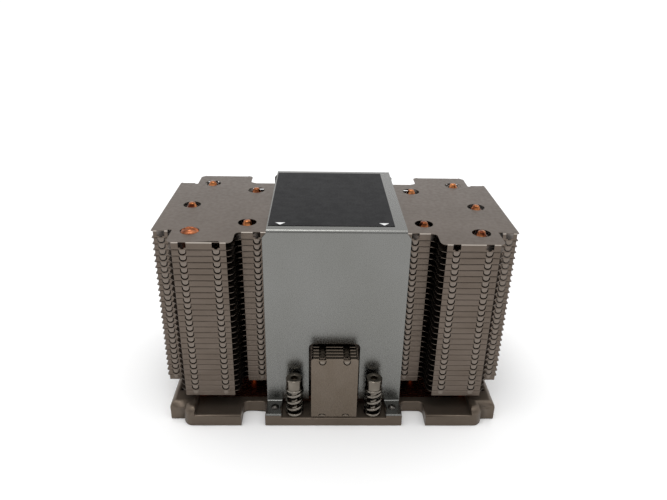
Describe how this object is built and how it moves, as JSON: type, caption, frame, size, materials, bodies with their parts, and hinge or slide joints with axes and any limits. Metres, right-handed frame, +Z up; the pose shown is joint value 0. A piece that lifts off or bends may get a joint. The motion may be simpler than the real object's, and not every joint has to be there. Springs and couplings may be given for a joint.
{
  "type": "gpu heatsink",
  "caption": "Server GPU heatsink: stacked folded fins on riser tubes over a vapour chamber in a plated frame, with a bent bridge cover, a front fin pack and captive spring screws.",
  "frame": {"origin": "middle of the contact face, on the underside of the base", "axes": "+Z up from the contact face through the fin stack, -Y towards the front fin pack, X along the fins and the airflow"},
  "size_m": [0.158, 0.0998, 0.0943],
  "materials": {
    "nickel_frame": "satin nickel plating",
    "copper_chamber": "machined copper",
    "satin_cover": "satin, fine grain",
    "black_film": "matte film with two plain white triangles",
    "steel_fastener": "turned, plated",
    "copper_tube": "bare drawn copper",
    "nickel_fin": "nickel plated sheet",
    "spring_wire": "bright drawn wire"
  },
  "bodies": {
    "sink": {"base_frame": "nickel_frame", "vapor_chamber": "copper_chamber", "bridge_cover": "satin_cover", "cover_label": "black_film", "cover_foot_screws": "steel_fastener", "outer_tube_left_front": "copper_tube", "outer_tube_left_back": "copper_tube", "outer_tube_right_front": "copper_tube", "outer_tube_right_back": "copper_tube", "inner_tube_left_front": "copper_tube", "inner_tube_left_back": "copper_tube", "inner_tube_right_front": "copper_tube", "inner_tube_right_back": "copper_tube", "side_tube_left": "copper_tube", "side_tube_right": "copper_tube", "fin_01": "nickel_fin", "fin_02": "nickel_fin", "fin_03": "nickel_fin", "fin_04": "nickel_fin", "fin_05": "nickel_fin", "fin_06": "nickel_fin", "fin_07": "nickel_fin", "fin_08": "nickel_fin", "fin_09": "nickel_fin", "fin_10": "nickel_fin", "fin_11": "nickel_fin", "fin_12": "nickel_fin", "fin_13": "nickel_fin", "fin_14": "nickel_fin", "fin_15": "nickel_fin", "fin_16": "nickel_fin", "fin_17": "nickel_fin", "fin_18": "nickel_fin", "fin_19": "nickel_fin", "fin_20": "nickel_fin", "fin_21": "nickel_fin", "fin_22": "nickel_fin", "fin_23": "nickel_fin", "fin_24": "nickel_fin", "fin_25": "nickel_fin", "fin_26": "nickel_fin", "fin_27": "nickel_fin", "front_fin_1": "nickel_fin", "front_fin_2": "nickel_fin", "front_fin_3": "nickel_fin", "front_fin_4": "nickel_fin", "front_fin_5": "nickel_fin", "captive_spring_left_front": "spring_wire", "captive_spring_left_back": "spring_wire", "captive_spring_right_front": "spring_wire", "captive_spring_right_back": "spring_wire"},
    "screw_left_front": {"captive_screw_left_front": "steel_fastener", "retaining_ring_left_front": "steel_fastener"},
    "screw_left_back": {"captive_screw_left_back": "steel_fastener", "retaining_ring_left_back": "steel_fastener"},
    "screw_right_front": {"captive_screw_right_front": "steel_fastener", "retaining_ring_right_front": "steel_fastener"},
    "screw_right_back": {"captive_screw_right_back": "steel_fastener", "retaining_ring_right_back": "steel_fastener"}
  },
  "joints": [
    {"name": "screw_travel_left_front", "type": "slide", "parent": "sink", "child": "screw_left_front", "axis": [0, 0, 1], "range_m": [-0.005, 0], "stiffness_N_per_m": 2000, "springref_m": 0.002, "deforming": ["captive_spring_left_front"]},
    {"name": "screw_travel_left_back", "type": "slide", "parent": "sink", "child": "screw_left_back", "axis": [0, 0, 1], "range_m": [-0.005, 0], "stiffness_N_per_m": 2000, "springref_m": 0.002, "deforming": ["captive_spring_left_back"]},
    {"name": "screw_travel_right_front", "type": "slide", "parent": "sink", "child": "screw_right_front", "axis": [0, 0, 1], "range_m": [-0.005, 0], "stiffness_N_per_m": 2000, "springref_m": 0.002, "deforming": ["captive_spring_right_front"]},
    {"name": "screw_travel_right_back", "type": "slide", "parent": "sink", "child": "screw_right_back", "axis": [0, 0, 1], "range_m": [-0.005, 0], "stiffness_N_per_m": 2000, "springref_m": 0.002, "deforming": ["captive_spring_right_back"]}
  ]
}
